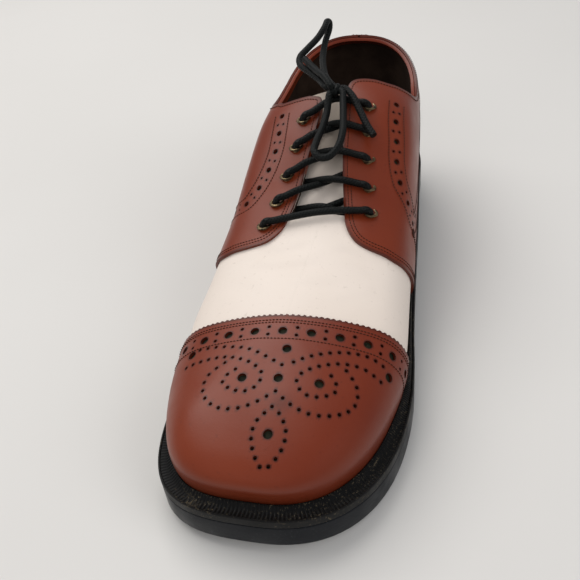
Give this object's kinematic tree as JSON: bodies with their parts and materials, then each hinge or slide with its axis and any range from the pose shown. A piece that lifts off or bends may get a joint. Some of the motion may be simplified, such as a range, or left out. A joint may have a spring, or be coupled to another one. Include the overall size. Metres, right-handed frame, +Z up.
{
  "type": "spectator shoe",
  "caption": "Two-tone brogue derby shoe for the left foot, with a straight toe cap, laced facings, a raised welt, a thick sole and a low heel.",
  "frame": {"origin": "middle of the shoe's footprint on the floor", "axes": "the toe points to -Y and the heel to +Y, the outer side of the foot is +X, +Z is up"},
  "size_m": [0.1106, 0.305, 0.1233],
  "materials": {
    "sole": "satin black rubber",
    "welt": "waxed black leather, stitched",
    "lining": "dull dark lining leather",
    "white_leather": "smooth off-white leather, lightly creased",
    "brown_leather": "polished brown leather",
    "brass": "antique brass",
    "lace": "round waxed black cord"
  },
  "bodies": {
    "root": {"outsole": "sole", "heel": "sole", "welt": "welt", "insole": "lining", "upper": "white_leather", "toe_cap": "brown_leather", "quarter_inner": "brown_leather", "quarter_outer": "brown_leather", "tongue": "white_leather", "eyelet_inner_1": "brass", "eyelet_inner_2": "brass", "eyelet_inner_3": "brass", "eyelet_inner_4": "brass", "eyelet_inner_5": "brass", "eyelet_outer_1": "brass", "eyelet_outer_2": "brass", "eyelet_outer_3": "brass", "eyelet_outer_4": "brass", "eyelet_outer_5": "brass", "lace_bar": "lace", "lace_crossing_1": "lace", "lace_crossing_2": "lace", "lace_crossing_3": "lace", "lace_crossing_4": "lace", "lace_crossing_5": "lace", "lace_knot": "lace", "lace_loop_back": "lace", "lace_loop_front": "lace", "lace_end_1": "lace", "lace_end_2": "lace"}
  },
  "joints": []
}
